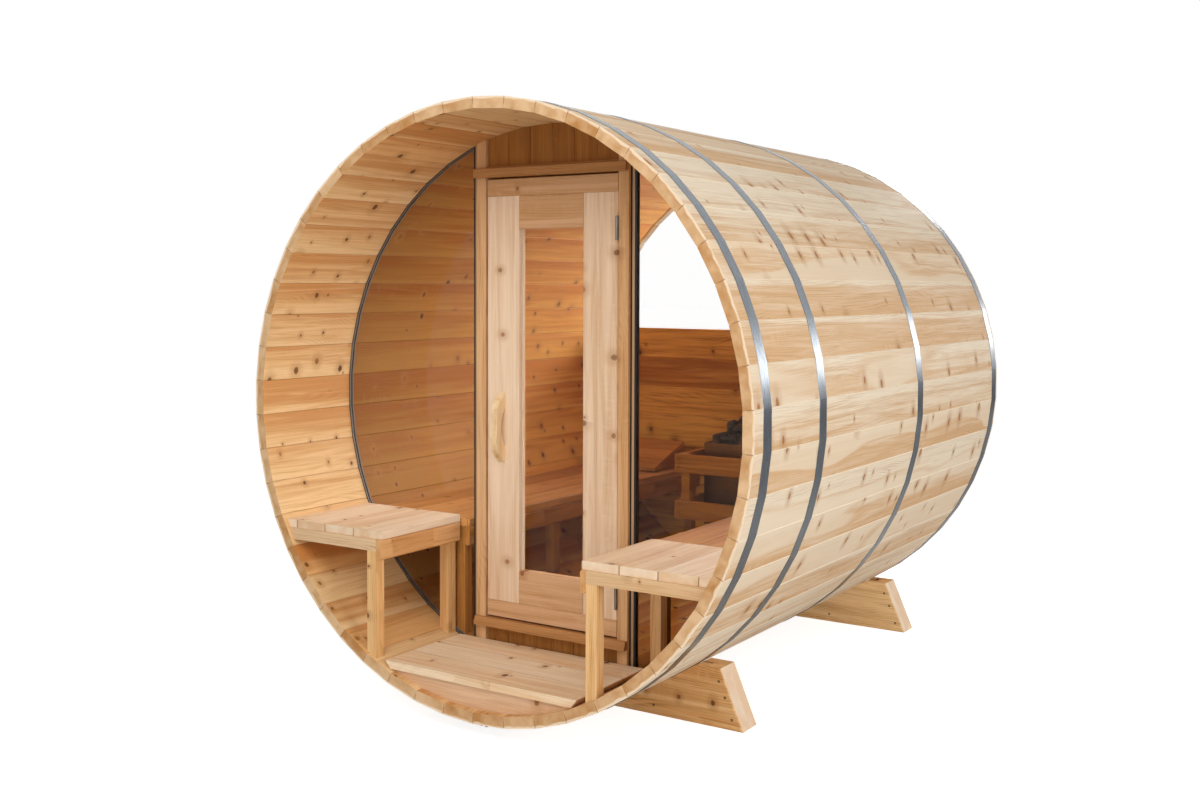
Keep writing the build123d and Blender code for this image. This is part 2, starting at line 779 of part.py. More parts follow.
# Guard rail around the heater, fixed to the back wall by its side rails
guard_front = rear_wall - guard_depth
guard_right = guard_left + guard_width
guard_top = shell_bottom + guard_top_rise
guard_low_rail_top = shell_bottom + guard_low_rail_rise
behind_front_rail = guard_front + guard_rail_thickness + fit
beside_left_rail = guard_left + guard_rail_thickness + fit
beside_right_rail = guard_right - guard_rail_thickness - fit
with BuildPart() as guard:
    for rail_top in (guard_top, guard_low_rail_top):
        rail_span = (rail_top - guard_rail_height, rail_top)
        add(block((guard_left, guard_right), (guard_front, guard_front + guard_rail_thickness),
                  rail_span, stave_bevel))
        for x in (guard_left, guard_right - guard_rail_thickness):
            add(block((x, x + guard_rail_thickness), (behind_front_rail, rear_wall - fit), rail_span,
                      stave_bevel))
    for x in (beside_left_rail, beside_right_rail - lumber):
        add(block((x, x + lumber), (behind_front_rail, behind_front_rail + lumber),
                  (guard_low_rail_top - guard_rail_height, guard_top)))
finish(guard, "heater_guard")
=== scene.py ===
import math
import random
from functools import partial

import bmesh
import bpy
from mathutils import Matrix, Vector, noise


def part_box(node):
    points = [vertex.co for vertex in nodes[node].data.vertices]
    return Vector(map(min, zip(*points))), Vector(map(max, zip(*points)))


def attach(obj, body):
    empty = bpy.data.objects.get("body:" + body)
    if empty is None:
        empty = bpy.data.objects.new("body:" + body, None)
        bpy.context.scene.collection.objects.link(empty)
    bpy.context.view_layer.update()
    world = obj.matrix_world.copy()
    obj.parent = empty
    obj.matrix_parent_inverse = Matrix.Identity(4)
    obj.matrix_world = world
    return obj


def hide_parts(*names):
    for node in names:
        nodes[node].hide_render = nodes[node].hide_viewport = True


# Barrel sauna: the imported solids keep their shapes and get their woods, metals and glass here,
# and the loose stones and the screws, which the solids leave out, are added as meshes.
# Metres, in the part's own frame: +Y from the porch to the back, +Z up.

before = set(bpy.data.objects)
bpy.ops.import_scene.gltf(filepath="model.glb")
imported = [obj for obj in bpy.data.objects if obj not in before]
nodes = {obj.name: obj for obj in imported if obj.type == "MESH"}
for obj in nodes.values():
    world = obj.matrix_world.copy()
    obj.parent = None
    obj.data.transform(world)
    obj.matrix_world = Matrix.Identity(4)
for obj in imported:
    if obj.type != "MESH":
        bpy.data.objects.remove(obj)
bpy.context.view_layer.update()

MM = 0.001

# Shell and its walls
AXIS_HEIGHT = 1000 * MM
STAVE_COUNT = 50
STAVE_ANGLE = 2 * math.pi / STAVE_COUNT
SHELL_INSIDE = 915 * MM
FRONT_WALL = -655 * MM
# The painted shade on the hot room's staves is lightest from this place along the barrel on
PAINTED_SHADE_FADES = 300 * MM
BACK_WALL_OUTSIDE = 1032 * MM

# A stave: what lies less than INNER_FACE_DEPTH outside the shell's inside counts as its inner
# face, chips in its sawn end reach up to CHIP_DEPTH inwards from the radius CHIPS_FROM, and its
# bevel is given as the tangent of the angle from its middle
INNER_FACE_DEPTH = 12 * MM
CHIPS_FROM, CHIP_DEPTH = 955 * MM, 24 * MM
BEVEL_START, BEVEL_END = 0.0606, 0.0622

# Boards side by side: the width of one, and the place of an edge of one
BACK_BOARD, BACK_EDGE = 133 * MM, 1191.4 * MM
FRONT_BOARD, FRONT_EDGE = 89 * MM, -266.7 * MM
PORCH_BENCH_BOARD, PORCH_BENCH_EDGE = 129 * MM, 388 * MM
ROOM_BENCH_BOARD, ROOM_BENCH_EDGE = 148 * MM, 365 * MM
DECK_BOARD, DECK_EDGE = 125.3 * MM, -1052 * MM

# Boards are counted from BOARDS_BEFORE boards before that edge. Along an axis on which a board
# has no neighbour, its room is as wide as WIDE and starts at FAR
BOARDS_BEFORE = 20
WIDE = 100
FAR = -WIDE / 2

# How far the painted shade of a joint reaches over a board, and the figure of the wood
JOINT_SHADE_REACH = 3 * MM
KNOTS_A_METRE = 9
RING_PITCH = 7 * MM
END_RING_PITCH = 4 * MM


def linear(hex_colour):
    """An sRGB hex colour as the linear colour that a socket takes."""
    parts = [int(hex_colour[i:i + 2], 16) / 255 for i in (1, 3, 5)]
    return [p / 12.92 if p <= 0.04045 else ((p + 0.055) / 1.055) ** 2.4 for p in parts] + [1]


def node(tree, kind, inputs=(), **settings):
    """Adds a node with its settings, and values or links for its inputs in order or by name.
    Gives the node's first output; the others are reached through it."""
    new = tree.nodes.new("ShaderNode" + kind)
    for name, value in settings.items():
        setattr(new, name, value)
    sockets = [socket for socket in new.inputs if socket.enabled]
    pairs = inputs.items() if isinstance(inputs, dict) else enumerate(inputs)
    for key, value in pairs:
        socket = new.inputs[key] if isinstance(key, str) else sockets[key]
        if isinstance(value, bpy.types.NodeSocket):
            tree.links.new(value, socket)
        else:
            socket.default_value = value
    return next((socket for socket in new.outputs if socket.enabled), None)


def blank_material(name):
    """An empty material, and the node function bound to it."""
    made = bpy.data.materials.new(name)
    made.use_nodes = True
    made.node_tree.nodes.clear()
    return made, partial(node, made.node_tree)


# Wood: each board is its own cut from the tree

def sawn_face(add, facing):
    """Where a face looks along its board, whose part of the normal is facing."""
    turned = add("Math", (facing,), operation="ABSOLUTE")
    return add("Math", (turned, 0.85), operation="GREATER_THAN")


def stave_space(add):
    """The staves: turned back by whole staves to the one at three o'clock. It gives the place
    along, across and into a stave, the stave's random numbers, and where its sawn end, its
    inner face and its joint with the next one show."""
    surface = add("TexCoord").node.outputs
    centred = add("VectorMath", (surface["Object"], (0, 0, AXIS_HEIGHT)), operation="SUBTRACT")
    polar = add("SeparateXYZ", (centred,)).node.outputs
    angle = add("Math", (polar["Z"], polar["X"]), operation="ARCTAN2")
    share = add("Math", (angle, 1 / STAVE_ANGLE, 0.5), operation="MULTIPLY_ADD")
    number = add("Math", (share,), operation="FLOOR")
    turn = add("Math", (number, STAVE_ANGLE), operation="MULTIPLY")
    turned = add("VectorRotate", {"Vector": centred, "Angle": turn}, rotation_type="Y_AXIS")
    local = add("SeparateXYZ", (turned,)).node.outputs
    place = add("CombineXYZ", (local["Y"], local["Z"], local["X"]))
    seed = add("TexWhiteNoise", (number,), noise_dimensions="1D").node.outputs["Color"]
    facing = add("SeparateXYZ", (surface["Normal"],)).node.outputs
    near_axis = add("Math", (local["X"], SHELL_INSIDE + INNER_FACE_DEPTH), operation="LESS_THAN")
    before_recess = add("Math", (local["Y"], BACK_WALL_OUTSIDE), operation="LESS_THAN")
    inner = add("Math", (near_axis, before_recess), operation="MULTIPLY")
    slant = add("Math", (local["Z"], local["X"]), operation="DIVIDE")
    aside = add("Math", (slant,), operation="ABSOLUTE")
    # How strong the painted joint is: stronger outside than on the inner faces
    strength = add("Math", (inner, -0.4, 0.62), operation="MULTIPLY_ADD")
    joint = add("MapRange", (aside, BEVEL_START, BEVEL_END, 0.0, strength))
    return place, seed, sawn_face(add, facing["Y"]), inner, joint


def board_space(order, cells, start=(FAR, FAR, FAR), joints=0.0):
    """Boards side by side: order names the axes along, across and into a board, and cells is
    the room that each board has along X, Y and Z, counted from start. The joints between them
    get painted shade for the shadow in the gaps, as dark as joints says, but not on the faces
    that look across the boards. The space gives what stave_space does, without an inner face."""
    def space(add):
        surface = add("TexCoord").node.outputs
        shifted = add("VectorMath", (surface["Object"], start), operation="SUBTRACT")
        shared = add("VectorMath", (shifted, cells), operation="DIVIDE")
        number = add("VectorMath", (shared,), operation="FLOOR")
        seed = add("TexWhiteNoise", (number,), noise_dimensions="3D").node.outputs["Color"]
        split = add("SeparateXYZ", (surface["Object"],)).node.outputs
        place = add("CombineXYZ", [split[axis] for axis in order])
        facing = add("SeparateXYZ", (surface["Normal"],)).node.outputs
        end = sawn_face(add, facing[order[0]])
        if not joints:
            return place, seed, end, None, None
        share = add("SeparateXYZ", (shared,)).node.outputs[order[1]]
        from_joint = add("Math", (share, 0.5), operation="PINGPONG")
        reach = JOINT_SHADE_REACH / cells["XYZ".index(order[1])]
        joint = add("MapRange", (from_joint, 0.4 * reach, reach, joints, 0.0))
        aside = add("Math", (facing[order[1]],), operation="ABSOLUTE")
        crossed = add("Math", (aside, 0.5), operation="LESS_THAN")
        return place, seed, end, None, add("Math", (joint, crossed), operation="MULTIPLY")
    return space


def knots_in(add, own, lie, inner, share):
    """Knots 4 to 20 mm long, one or none in each 110 mm square, drawn out across the grain.
    Gives the core of a knot, the swirl round it and the nearest knot's random numbers."""
    squeeze, chance = 0.8, share
    if inner:
        squeeze = add("Math", (inner, 0.2, 0.62), operation="MULTIPLY_ADD")
        chance = add("Math", (inner, 0.3, share), operation="MULTIPLY_ADD")
    wander = add("TexNoise", {"Vector": own, "Scale": 55, "Detail": 1})
    squeezed = add("Math", (lie["Y"], squeeze), operation="MULTIPLY")
    knot_place = add("CombineXYZ", (lie["X"], squeezed))
    cell = add("TexVoronoi", {"Vector": knot_place, "Scale": KNOTS_A_METRE},
               voronoi_dimensions="2D").node.outputs
    knot = add("SeparateXYZ", (cell["Color"],)).node.outputs
    size = add("Math", (knot["X"], 0.07, 0.02), operation="MULTIPLY_ADD")
    distance = add("Math", (cell["Distance"], 0.03), operation="SUBTRACT")
    rough = add("Math", (wander, 0.06, distance), operation="MULTIPLY_ADD")
    reach = add("Math", (rough, size), operation="DIVIDE")
    has_knot = add("Math", (knot["Y"], chance), operation="LESS_THAN")
    core = add("MapRange", (reach, 0.7, 1.3, has_knot, 0.0), interpolation_type="SMOOTHSTEP")
    swirl = add("MapRange", (reach, 0.9, 4.5, has_knot, 0.0), interpolation_type="SMOOTHSTEP")
    return core, swirl, knot


def grain_in(add, own):
    """Streaks 25 mm wide, broad bands 110 mm wide, and fibres 2 mm wide, coarser than real ones
    so that they show. The drift bends the rings slowly along a board, and the ripples lie 12 mm
    apart across the grain."""
    streaked = add("VectorMath", (own, (1.6, 38, 38)), operation="MULTIPLY")
    streaks = add("TexNoise", {"Vector": streaked, "Scale": 1, "Detail": 5, "Roughness": 0.62,
                               "Distortion": 0.8})
    widened = add("VectorMath", (own, (1.2, 9, 9)), operation="MULTIPLY")
    broad = add("TexNoise", {"Vector": widened, "Scale": 1, "Detail": 2})
    fibrous = add("VectorMath", (own, (7, 430, 430)), operation="MULTIPLY")
    fibres = add("TexNoise", {"Vector": fibrous, "Scale": 1, "Detail": 2})
    drifting = add("VectorMath", (own, (1.3, 6, 6)), operation="MULTIPLY")
    drift = add("TexNoise", {"Vector": drifting, "Scale": 1, "Detail": 1, "Distortion": 0.5})
    rippled = add("VectorMath", (own, (80, 22, 22)), operation="MULTIPLY")
    ripples = add("TexNoise", {"Vector": rippled, "Scale": 1, "Detail": 1, "Distortion": 0.5})
    return streaks, broad, fibres, drift, ripples


def rings_in(add, lie, drift, swirl):
    """Rings 7 mm apart, coarser than the real 2 mm so that they show, swept round the knots."""
    field = add("Math", (drift, 0.14, lie["Y"]), operation="MULTIPLY_ADD")
    field = add("Math", (swirl, 0.007, field), operation="MULTIPLY_ADD")
    phase = add("Math", (field, 1 / RING_PITCH), operation="MULTIPLY")
    phase = add("Math", (phase,), operation="FRACT")
    return add("MapRange", (phase, 0.3, 0.92, 0.0, 1.0), interpolation_type="SMOOTHSTEP")


def indoor_wood(add, wood, tone, board, along, inner, colours):
    """The staves' inner faces are warmer, partly the wood's own unweathered tone and partly painted
    warm bounce light, and some staves are ruddy all round. In the hot room the inner faces carry
    painted shade, darkest by the front wall."""
    # Warmer inner faces: partly the wood's own tone, partly painted warm bounce light
    warm = add("Mix", (tone, linear(colours[0]), linear(colours[1])), data_type="RGBA")
    wood = add("Mix", (inner, wood, warm), data_type="RGBA")
    ruddy = add("MapRange", (board["Y"], 0.65, 0.95, 0.0, 0.6))
    wood = add("Mix", (ruddy, wood, linear("#F6D3A4")), data_type="RGBA", blend_type="MULTIPLY")
    # Painted shade on the hot room's inner faces, darkest by the front wall and fading out along the
    # barrel
    behind_wall = add("Math", (along, FRONT_WALL), operation="GREATER_THAN")
    painted_room_shade = add("Math", (inner, behind_wall), operation="MULTIPLY")
    depth = add("MapRange", (along, FRONT_WALL, PAINTED_SHADE_FADES, 0.0, 1.0))
    room_shade_tone = add("Mix", (depth, linear("#A28459"), linear("#FFE2A0")), data_type="RGBA")
    return add("Mix", (painted_room_shade, wood, room_shade_tone), data_type="RGBA", blend_type="MULTIPLY")


def outdoor_wood(add, wood, tone, colours):
    """The back wall's outside is paler and cooler than its inside, whose darker orange is painted
    shade of the dim hot room.
    """
    facing = add("SeparateXYZ", (add("TexCoord").node.outputs["Normal"],)).node.outputs
    turned_out = add("Math", (facing["Y"], 0.5), operation="GREATER_THAN")
    cool = add("Mix", (tone, linear(colours[0]), linear(colours[1])), data_type="RGBA")
    return add("Mix", (turned_out, wood, cool), data_type="RGBA")


def with_grain(add, wood, rings, streaks, fibres, deep, figure):
    """Rings in the deep colour, clear only in places, and fibres in it."""
    clear = add("MapRange", (streaks, 0.45, 0.7, 0.05 * figure, 0.5 * figure))
    clear = add("Math", (rings, clear), operation="MULTIPLY")
    wood = add("Mix", (clear, wood, linear(deep)), data_type="RGBA")
    dark_fibres = add("MapRange", (fibres, 0.5, 0.8, 0.0, 0.4 * figure))
    return add("Mix", (dark_fibres, wood, linear(deep)), data_type="RGBA")


def with_curl(add, wood, broad, ripples, inner, pale):
    """Curl: pale ripples in patches, weak on the staves' inside."""
    patch = add("MapRange", (broad, 0.5, 0.72, 0.0, 0.35))
    if inner:
        weaker = add("Math", (inner, -0.8, 1.0), operation="MULTIPLY_ADD")
        patch = add("Math", (patch, weaker), operation="MULTIPLY")
    curl = add("MapRange", (ripples, 0.5, 0.75, 0.0, 1.0))
    curl = add("Math", (curl, patch), operation="MULTIPLY")
    return add("Mix", (curl, wood, linear(pale)), data_type="RGBA")


def with_sapwood(add, wood, board, across, inner, drift, streaks, pale, tan):
    """Three in ten staves have on their outer face a strip of cream sapwood with a tan border."""
    slope = add("Math", (board["Z"], 50, -25), operation="MULTIPLY_ADD")
    sloped = add("Math", (across, slope), operation="MULTIPLY")
    wave = add("Math", (drift, 4.0, sloped), operation="MULTIPLY_ADD")
    wave = add("Math", (streaks, 0.8, wave), operation="MULTIPLY_ADD")
    chosen = add("Math", (board["X"], 0.3), operation="LESS_THAN")
    has_sap = add("Math", (chosen, inner), operation="SUBTRACT", use_clamp=True)
    sap = add("MapRange", (wave, 2.5, 2.75, 0.0, has_sap), interpolation_type="SMOOTHSTEP")
    border = add("MapRange", (wave, 2.1, 2.5, 0.0, has_sap), interpolation_type="SMOOTHSTEP")
    border = add("Math", (border, 0.4), operation="MULTIPLY")
    wood = add("Mix", (border, wood, linear(tan)), data_type="RGBA")
    sap = add("Math", (sap, 0.6), operation="MULTIPLY")
    return add("Mix", (sap, wood, linear(pale)), data_type="RGBA")


def with_knots(add, wood, core, swirl, knot, inner, deep, figure):
    """Knots from mid to dark brown, all mid brown on the staves' outside, with the deep colour
    swept round each."""
    heart = add("Mix", (knot["Z"], linear("#A0622F"), linear("#4C2A12")), data_type="RGBA")
    if inner:
        heart = add("Mix", (inner, linear("#A66A36"), heart), data_type="RGBA")
    swirl = add("Math", (swirl, 0.4), operation="MULTIPLY")
    wood = add("Mix", (swirl, wood, linear(deep)), data_type="RGBA")
    core = add("Math", (core, 0.4 + 0.5 * min(figure, 1)), operation="MULTIPLY")
    return add("Mix", (core, wood, heart), data_type="RGBA")


def sawn_end(add, own, board, radius, pale, tan, deep):
    """Sawn ends: cream with tan patches and faint arcs of the rings, 4 mm apart so that they
    show. The staves' outer edge is chipped and eased there, which leaves it cream in places."""
    across_end = add("VectorMath", (own, (0, 1, 1)), operation="MULTIPLY")
    blotches = add("TexNoise", {"Vector": across_end, "Scale": 18, "Detail": 4})
    from_pith = add("VectorMath", (across_end,), operation="LENGTH").node.outputs["Value"]
    rings = add("Math", (from_pith, 1 / END_RING_PITCH), operation="MULTIPLY")
    arcs = add("Math", (rings,), operation="FRACT")
    end_tone = add("Math", (board["Y"], 0.8, -1.1), operation="MULTIPLY_ADD")
    end_tone = add("Math", (blotches, 2.4, end_tone), operation="MULTIPLY_ADD", use_clamp=True)
    cut = add("Mix", (end_tone, linear(pale), linear(tan)), data_type="RGBA")
    faint = add("MapRange", (arcs, 0.3, 1.0, 0.0, 0.15))
    cut = add("Mix", (faint, cut, linear(deep)), data_type="RGBA")
    if radius:
        beyond = add("Math", (radius, CHIPS_FROM), operation="SUBTRACT")
        edge = add("Math", (blotches, CHIP_DEPTH, beyond), operation="MULTIPLY_ADD")
        chipped = add("MapRange", (edge, -1 * MM, 3 * MM, 0.0, 0.75))
        cut = add("Mix", (chipped, cut, linear("#FBE6C8")), data_type="RGBA")
    return cut


def with_painted_joints(add, wood, joint, inner, end):
    """The joints show as thin dark lines of painted shadow, and on the staves' outside as cream
    bevels of painted highlight.
    """
    painted_joint_colour = linear("#7A4E2A")
    if inner:
        dark = add("Math", (inner, end), operation="MAXIMUM")
        painted_joint_colour = add("Mix", (dark, linear("#FFF3DC"), painted_joint_colour), data_type="RGBA")
    return add("Mix", (joint, wood, painted_joint_colour), data_type="RGBA")


def cedar(name, space, pale, tan, deep, indoors=None, outside=None, sawn=None, knots=0.4,
          figure=1.0, uneven=0.5):
    """Planed white cedar: soft streaks from pale to tan along each board, faint rings swept
    round small brown knots, and a curl across the grain here and there. The staves have a second
    pair of colours indoors, warmer partly from the wood's own tone and partly as painted bounce
    light, and a painted highlight along one edge with painted shade across to the other. The back
    wall has its second pair outside. It looks dry and silky."""
    made, add = blank_material(name)
    place, seed, end, inner, joint = space(add)
    board = add("SeparateXYZ", (seed,)).node.outputs
    spot = add("SeparateXYZ", (place,)).node.outputs
    # A board's own place in the figure, moved by its random numbers so that no two look alike
    own = add("VectorMath", (seed, (7, 3, 3), place), operation="MULTIPLY_ADD")
    lie = add("SeparateXYZ", (own,)).node.outputs
    core, swirl, knot = knots_in(add, own, lie, inner, knots)
    streaks, broad, fibres, drift, ripples = grain_in(add, own)
    rings = rings_in(add, lie, drift, swirl)

    board_tone = add("Math", (board["Z"], uneven, -0.8 - uneven / 2), operation="MULTIPLY_ADD")
    tone = add("Math", (streaks, 1.7, board_tone), operation="MULTIPLY_ADD")
    tone = add("Math", (broad, 0.7, tone), operation="MULTIPLY_ADD")
    if indoors:
        # Painted light across each stave: a painted highlight along one edge and painted shade
        # towards the other
        painted_edge_light = add("MapRange", (spot["Y"], 30 * MM, 58 * MM, 0.0, 0.4),
                         interpolation_type="SMOOTHSTEP")
        tone = add("Math", (tone, painted_edge_light), operation="SUBTRACT")
        tone = add("Math", (spot["Y"], -4.0, tone), operation="MULTIPLY_ADD")
    tone = add("MapRange", (tone, 0.0, 1.0, 0.0, 1.0), interpolation_type="SMOOTHSTEP")

    wood = add("Mix", (tone, linear(pale), linear(tan)), data_type="RGBA")
    if indoors:
        wood = indoor_wood(add, wood, tone, board, spot["X"], inner, indoors)
    if outside:
        wood = outdoor_wood(add, wood, tone, outside)
    wood = with_grain(add, wood, rings, streaks, fibres, deep, figure)
    wood = with_curl(add, wood, broad, ripples, inner, pale)
    if indoors:
        wood = with_sapwood(add, wood, board, spot["Y"], inner, drift, streaks, pale, tan)
    wood = with_knots(add, wood, core, swirl, knot, inner, deep, figure)
    end_pale, end_tan = sawn or (pale, tan)
    radius = spot["Z"] if indoors else None
    cut = sawn_end(add, own, board, radius, end_pale, end_tan, deep)
    wood = add("Mix", (end, wood, cut), data_type="RGBA")
    if joint:
        wood = with_painted_joints(add, wood, joint, inner, end)

    # The fibres stand up a little, and the rings lie a little deeper
    sunk = add("Math", (rings, -0.4), operation="MULTIPLY")
    relief = add("Math", (fibres, 0.6, sunk), operation="MULTIPLY_ADD")
    bump = add("Bump", {"Strength": 0.3, "Distance": 0.5 * MM, "Height": relief})
    gloss = add("MapRange", (fibres, 0.2, 0.8, 0.52, 0.70))
    shader = add("BsdfPrincipled", {"Base Color": wood, "Roughness": gloss, "Normal": bump,
                                    "Specular IOR Level": 0.18})
    add("OutputMaterial", {"Surface": shader})
    return made


def rolled_steel(name, colour, dark, roughness, scratches_a_metre, bent=0.0):
    """Rolled strip with a brushed face: fine scratches along it stretch the highlights, and
    scratches_a_metre counts them along X, Y and Z. A bent strip turns its face evenly round
    the barrel instead of in steps."""
    made, add = blank_material(name)
    surface = add("TexCoord").node.outputs
    # Scratches 0.5 mm apart, drawn 2 to 3 mm apart so that they show
    scratched = add("VectorMath", (surface["Object"], scratches_a_metre), operation="MULTIPLY")
    marks = add("TexNoise", {"Vector": scratched, "Scale": 1, "Detail": 3})
    smudges = add("TexNoise", {"Vector": surface["Object"], "Scale": 5, "Detail": 3})
    scratches = add("MapRange", (marks, 0.35, 0.7, 0.0, 0.7))
    tone = add("Mix", (scratches, linear(colour), linear(dark)), data_type="RGBA")
    gloss = add("Math", (smudges, 0.12, roughness - 0.12), operation="MULTIPLY_ADD")
    gloss = add("Math", (marks, 0.12, gloss), operation="MULTIPLY_ADD")
    facing = surface["Normal"]
    if bent:
        from_axis = add("VectorMath", (surface["Object"], (0, 0, AXIS_HEIGHT)), operation="SUBTRACT")
        outwards = add("VectorMath", (from_axis, (1, 0, 1)), operation="MULTIPLY")
        outwards = add("VectorMath", (outwards,), operation="NORMALIZE")
        facing = add("Mix", (bent, facing, outwards), data_type="VECTOR")
        facing = add("VectorMath", (facing,), operation="NORMALIZE")
    bump = add("Bump", {"Strength": 0.12, "Distance": 0.2 * MM, "Height": marks, "Normal": facing})
    shader = add("BsdfPrincipled", {"Base Color": tone, "Metallic": 1.0, "Roughness": gloss,
                                    "Normal": bump})
    add("OutputMaterial", {"Surface": shader})
    return made


def float_glass(name):
    """Toughened float glass: clear, with a faint mirror of what is round it. Its IOR is below
    the real 1.52, which keeps that mirror faint."""
    made, add = blank_material(name)
    shader = add("BsdfPrincipled", {"Base Color": linear("#FFFFFF"), "Transmission Weight": 1.0,
                                    "Roughness": 0.0, "IOR": 1.2, "Specular IOR Level": 0.25})
    # Shadow rays pass straight through, so that the room behind is lit
    clear = add("BsdfTransparent", {"Color": linear("#FFFFFF")})
    shadow = add("LightPath").node.outputs["Is Shadow Ray"]
    both = add("MixShader", (shadow, shader, clear))
    add("OutputMaterial", {"Surface": both})
    return made


def extruded_rubber(name, front, side):
    """Extruded rubber edging: black on the faces that look to the front, as painted shadow along the
    seal, and grey-brown on the others, the rubber's colour lightened by painted light; dull with
    faint dust.
    """
    made, add = blank_material(name)
    surface = add("TexCoord").node.outputs
    dust = add("TexNoise", {"Vector": surface["Object"], "Scale": 40, "Detail": 4})
    facing = add("SeparateXYZ", (surface["Normal"],)).node.outputs
    # Painted shade: the faces that look to the front are black, the others painted lighter
    front_shade_face = add("Math", (facing["Y"], -0.7), operation="LESS_THAN")
    tone = add("Mix", (front_shade_face, linear(side), linear(front)), data_type="RGBA")
    dusty = add("MapRange", (dust, 0.5, 0.8, 0.0, 0.35))
    tone = add("Mix", (dusty, tone, linear("#8A8078")), data_type="RGBA")
    gloss = add("MapRange", (dust, 0.3, 0.7, 0.42, 0.65))
    shader = add("BsdfPrincipled", {"Base Color": tone, "Roughness": gloss})
    add("OutputMaterial", {"Surface": shader})
    return made


def bronze_channel(name):
    """Bronzed glazing channel: a warm satin strip, 9 mm wide, between two black edges, partly black
    rubber and partly painted shadow of the gap by the post.
    """
    made, add = blank_material(name)
    outer_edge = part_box("glass_channels")[1].x
    surface = add("TexCoord").node.outputs
    sideways = add("SeparateXYZ", (surface["Object"],)).node.outputs["X"]
    from_middle = add("Math", (sideways,), operation="ABSOLUTE")
    depth = add("Math", (outer_edge, from_middle), operation="SUBTRACT")
    strip = add("Math", (depth, 11.5 * MM, 4.5 * MM), operation="COMPARE")
    drawn_out = add("VectorMath", (surface["Object"], (300, 300, 4)), operation="MULTIPLY")
    streaks = add("TexNoise", {"Vector": drawn_out, "Scale": 1, "Detail": 2})
    warm = add("Mix", (streaks, linear("#D0AC82"), linear("#94744E")), data_type="RGBA")
    # Black on both sides of the strip: partly rubber, partly painted shadow of the gap by the post
    tone = add("Mix", (strip, linear("#1A1310"), warm), data_type="RGBA")
    gloss = add("MapRange", (streaks, 0.2, 0.8, 0.35, 0.55))
    shader = add("BsdfPrincipled", {"Base Color": tone, "Roughness": gloss})
    add("OutputMaterial", {"Surface": shader})
    return made


def split_stone(name):
    """Split olivine stone: dark grey and brown in patches, with pale grains 3 mm across, rough."""
    made, add = blank_material(name)
    surface = add("TexCoord").node.outputs
    patches = add("TexNoise", {"Vector": surface["Object"], "Scale": 14, "Detail": 3})
    grains = add("TexNoise", {"Vector": surface["Object"], "Scale": 330, "Detail": 2})
    brown = add("MapRange", (patches, 0.35, 0.65, 0.0, 1.0))
    tone = add("Mix", (brown, linear("#241E1A"), linear("#5C4A3A")), data_type="RGBA")
    pale = add("MapRange", (grains, 0.58, 0.75, 0.0, 1.0))
    tone = add("Mix", (pale, tone, linear("#9C9084")), data_type="RGBA")
    bump = add("Bump", {"Strength": 0.6, "Distance": 3 * MM, "Height": grains})
    shader = add("BsdfPrincipled", {"Base Color": tone, "Roughness": 0.85, "Normal": bump})
    add("OutputMaterial", {"Surface": shader})
    return made


# Woods, with their pale, tan and deep colours
# The staves' indoor colours are warmer: partly the wood's own tone, partly painted warm bounce light
staves_cedar = cedar("stave_white_cedar", stave_space,
                     "#EFDEC4", "#DAB184", "#B07C46", indoors=("#ECC792", "#CE9256"),
                     sawn=("#E2BC90", "#BC854C"), knots=0.45, uneven=0.8)
# The back wall's inside is darker and more orange than the porch's cedar: painted shade of the dim
# hot room
rear_cedar = cedar("back_wall_white_cedar",
                   board_space("XZY", (WIDE, WIDE, BACK_BOARD),
                               (FAR, FAR, BACK_EDGE - BOARDS_BEFORE * BACK_BOARD)),
                   "#E6A84A", "#AC6A1C", "#6C3A0C", outside=("#EFDCBF", "#D6AC7E"),
                   knots=0.5, figure=1.5, uneven=0.9)
# The transom and kick boards are darker than the door's cedar: painted shade under the porch roof
front_cedar = cedar("front_wall_white_cedar",
                    board_space("ZXY", (FRONT_BOARD, WIDE, WIDE),
                                (FRONT_EDGE - BOARDS_BEFORE * FRONT_BOARD, FAR, FAR)),
                    "#AE7438", "#925C28", "#6B3D16", knots=0.1, uneven=0.2)
post_cedar = cedar("post_white_cedar", board_space("ZXY", (WIDE, WIDE, WIDE), (0, FAR, FAR)),
                   "#E3B889", "#CC955D", "#A06A3C", knots=0.15, uneven=0.2)
# The door header is darker than the door's cedar: painted shade under the porch roof, and the sill
# shares it
strip_cedar = cedar("header_white_cedar", board_space("XZY", (WIDE, 20 * MM, WIDE)),
                    "#C08A56", "#A4703E", "#7E4E24", knots=0.15, uneven=0.2)
stile_cedar = cedar("door_stile_clear_cedar",
                    board_space("ZXY", (WIDE, WIDE, WIDE), (0, FAR, FAR)),
                    "#F3D8BA", "#DDB48C", "#B98658", knots=0.3, figure=0.6, uneven=0.2)
rail_cedar = cedar("door_rail_clear_cedar", board_space("XZY", (WIDE, WIDE, 300 * MM)),
                   "#DDB088", "#C8955F", "#A0703F", knots=0.1, figure=0.7, uneven=0.2)
bench_cedar = cedar("bench_board_white_cedar",
                    board_space("YXZ", (PORCH_BENCH_BOARD, WIDE, WIDE),
                                (PORCH_BENCH_EDGE - BOARDS_BEFORE * PORCH_BENCH_BOARD, FAR, FAR),
                                joints=0.7),
                    "#F3DCBF", "#E2BD94", "#BE8C5C", knots=0.3)
# Darker and more orange than the porch's cedar: painted shade of the dim hot room
room_bench_cedar = cedar("hot_room_bench_white_cedar",
                         board_space("YXZ", (ROOM_BENCH_BOARD, WIDE, WIDE),
                                     (ROOM_BENCH_EDGE - BOARDS_BEFORE * ROOM_BENCH_BOARD, FAR, FAR),
                                     joints=0.6),
                         "#C98F52", "#A96E34", "#7A481C", knots=0.3)
apron_cedar = cedar("bench_apron_white_cedar", board_space("YZX", (300 * MM, 200 * MM, WIDE)),
                    "#E2AE76", "#CC9056", "#9A6431", knots=0.2)
